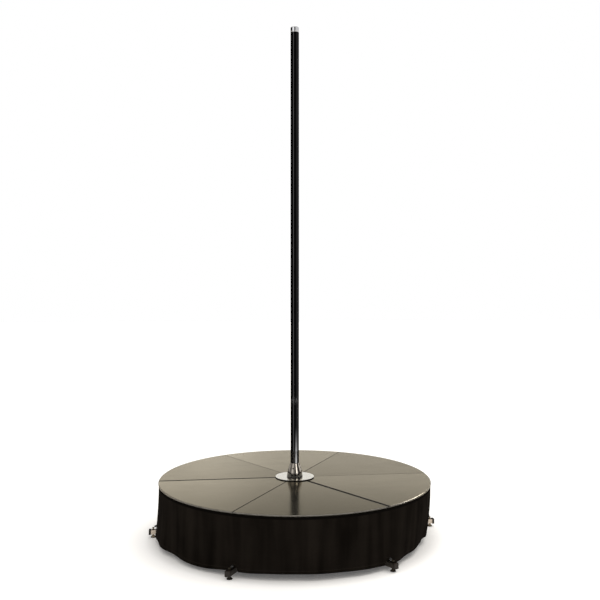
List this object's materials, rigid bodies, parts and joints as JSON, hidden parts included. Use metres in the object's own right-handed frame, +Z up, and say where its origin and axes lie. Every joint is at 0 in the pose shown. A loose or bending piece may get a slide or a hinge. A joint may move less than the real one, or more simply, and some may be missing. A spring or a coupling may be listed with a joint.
{
  "type": "dance pole",
  "caption": "Round free-standing stage of wedge panels on truss arms, with a black skirt, levelling feet and a tall pole that spins in ball bearings.",
  "frame": {"origin": "on the floor, on the pole's axis", "axes": "+Z up along the pole, +X along arm 1, whose foot stands at the right-hand slit of the skirt"},
  "size_m": [1.7106, 1.6028, 3.005],
  "materials": {
    "deck_laminate": "dark smooth laminate on board, satin gloss",
    "skirt_cloth": "black woven polyester, slight sheen",
    "pole_black": "gloss black powder coat on steel tube",
    "chrome": "polished",
    "satin_plate": "satin",
    "bearing_steel": "ground",
    "arm_steel": "zinc plated, dull",
    "pin_steel": "zinc plated",
    "foot_steel": "dark olive passivated zinc",
    "end_cap_plastic": "moulded, dark brown",
    "knob_plastic": "moulded, black"
  },
  "bodies": {
    "stage": {"arm_1": "arm_steel", "arm_2": "arm_steel", "arm_3": "arm_steel", "arm_4": "arm_steel", "arm_5": "arm_steel", "arm_6": "arm_steel", "arm_end_cap_1": "end_cap_plastic", "arm_end_cap_2": "end_cap_plastic", "arm_end_cap_3": "end_cap_plastic", "arm_end_cap_4": "end_cap_plastic", "arm_end_cap_5": "end_cap_plastic", "arm_end_cap_6": "end_cap_plastic", "arm_pin_1": "pin_steel", "arm_pin_2": "pin_steel", "arm_pin_3": "pin_steel", "arm_pin_4": "pin_steel", "arm_pin_5": "pin_steel", "arm_pin_6": "pin_steel", "deck_panel_1": "deck_laminate", "deck_panel_2": "deck_laminate", "deck_panel_3": "deck_laminate", "deck_panel_4": "deck_laminate", "deck_panel_5": "deck_laminate", "deck_panel_6": "deck_laminate", "hub": "arm_steel", "cover_plate": "satin_plate", "collar": "chrome", "lower_bearing_outer_ring": "bearing_steel", "upper_bearing_outer_ring": "bearing_steel", "skirt_front": "skirt_cloth", "skirt_rear": "skirt_cloth"},
    "pole": {"spindle": "bearing_steel", "lower_bearing_inner_ring": "bearing_steel", "upper_bearing_inner_ring": "bearing_steel", "pole_lower": "pole_black", "pole_joiner": "bearing_steel", "pole_upper": "pole_black", "pole_cap": "chrome"},
    "lower_balls": {"lower_bearing_balls": "bearing_steel"},
    "upper_balls": {"upper_bearing_balls": "bearing_steel"},
    "lock_1": {"lock_screw_1": "foot_steel"},
    "lock_2": {"lock_screw_2": "foot_steel"},
    "foot_1": {"foot_pad_1": "foot_steel"},
    "foot_2": {"foot_pad_2": "foot_steel"},
    "foot_3": {"foot_pad_3": "foot_steel"},
    "foot_4": {"foot_pad_4": "foot_steel"},
    "foot_5": {"foot_pad_5": "foot_steel"},
    "foot_6": {"foot_pad_6": "foot_steel"},
    "crank_1": {"foot_screw_1": "foot_steel", "foot_knob_1": "knob_plastic"},
    "crank_2": {"foot_screw_2": "foot_steel", "foot_knob_2": "knob_plastic"},
    "crank_3": {"foot_screw_3": "foot_steel", "foot_knob_3": "knob_plastic"},
    "crank_4": {"foot_screw_4": "foot_steel", "foot_knob_4": "knob_plastic"},
    "crank_5": {"foot_screw_5": "foot_steel", "foot_knob_5": "knob_plastic"},
    "crank_6": {"foot_screw_6": "foot_steel", "foot_knob_6": "knob_plastic"}
  },
  "joints": [
    {"name": "pole_spin", "type": "hinge", "parent": "stage", "child": "pole", "pos_m": [0, 0, 0.35], "axis": [0, 0, 1], "continuous": true},
    {"name": "lower_balls_roll", "type": "hinge", "parent": "stage", "child": "lower_balls", "pos_m": [0, 0, 0.0248], "axis": [0, 0, 1], "continuous": true},
    {"name": "upper_balls_roll", "type": "hinge", "parent": "stage", "child": "upper_balls", "pos_m": [0, 0, 0.3383], "axis": [0, 0, 1], "continuous": true},
    {"name": "lock_1_travel", "type": "slide", "parent": "stage", "child": "lock_1", "axis": [0.3827, 0.9239, 0], "range_m": [0, 0.0025]},
    {"name": "lock_2_travel", "type": "slide", "parent": "stage", "child": "lock_2", "axis": [-0.3827, -0.9239, 0], "range_m": [0, 0.0025]},
    {"name": "foot_1_travel", "type": "slide", "parent": "stage", "child": "foot_1", "axis": [0, 0, -1], "range_m": [0, 0.007]},
    {"name": "foot_2_travel", "type": "slide", "parent": "stage", "child": "foot_2", "axis": [0, 0, -1], "range_m": [0, 0.007]},
    {"name": "foot_3_travel", "type": "slide", "parent": "stage", "child": "foot_3", "axis": [0, 0, -1], "range_m": [0, 0.007]},
    {"name": "foot_4_travel", "type": "slide", "parent": "stage", "child": "foot_4", "axis": [0, 0, -1], "range_m": [0, 0.007]},
    {"name": "foot_5_travel", "type": "slide", "parent": "stage", "child": "foot_5", "axis": [0, 0, -1], "range_m": [0, 0.007]},
    {"name": "foot_6_travel", "type": "slide", "parent": "stage", "child": "foot_6", "axis": [0, 0, -1], "range_m": [0, 0.007]},
    {"name": "crank_1_turn", "type": "hinge", "parent": "foot_1", "child": "crank_1", "pos_m": [0.83, 0, 0.03], "axis": [0, 0, -1], "range_deg": [0, 1680]},
    {"name": "crank_2_turn", "type": "hinge", "parent": "foot_2", "child": "crank_2", "pos_m": [0.415, 0.7188, 0.03], "axis": [0, 0, -1], "range_deg": [0, 1680]},
    {"name": "crank_3_turn", "type": "hinge", "parent": "foot_3", "child": "crank_3", "pos_m": [-0.415, 0.7188, 0.03], "axis": [0, 0, -1], "range_deg": [0, 1680]},
    {"name": "crank_4_turn", "type": "hinge", "parent": "foot_4", "child": "crank_4", "pos_m": [-0.83, 0, 0.03], "axis": [0, 0, -1], "range_deg": [0, 1680]},
    {"name": "crank_5_turn", "type": "hinge", "parent": "foot_5", "child": "crank_5", "pos_m": [-0.415, -0.7188, 0.03], "axis": [0, 0, -1], "range_deg": [0, 1680]},
    {"name": "crank_6_turn", "type": "hinge", "parent": "foot_6", "child": "crank_6", "pos_m": [0.415, -0.7188, 0.03], "axis": [0, 0, -1], "range_deg": [0, 1680]}
  ],
  "couplings": [
    {"joint": "lower_balls_roll", "follows": "pole_spin", "ratio": 0.4443},
    {"joint": "upper_balls_roll", "follows": "pole_spin", "ratio": 0.4443},
    {"joint": "crank_1_turn", "follows": "foot_1_travel", "rad_per_m": 4188.8},
    {"joint": "crank_2_turn", "follows": "foot_2_travel", "rad_per_m": 4188.8},
    {"joint": "crank_3_turn", "follows": "foot_3_travel", "rad_per_m": 4188.8},
    {"joint": "crank_4_turn", "follows": "foot_4_travel", "rad_per_m": 4188.8},
    {"joint": "crank_5_turn", "follows": "foot_5_travel", "rad_per_m": 4188.8},
    {"joint": "crank_6_turn", "follows": "foot_6_travel", "rad_per_m": 4188.8}
  ]
}
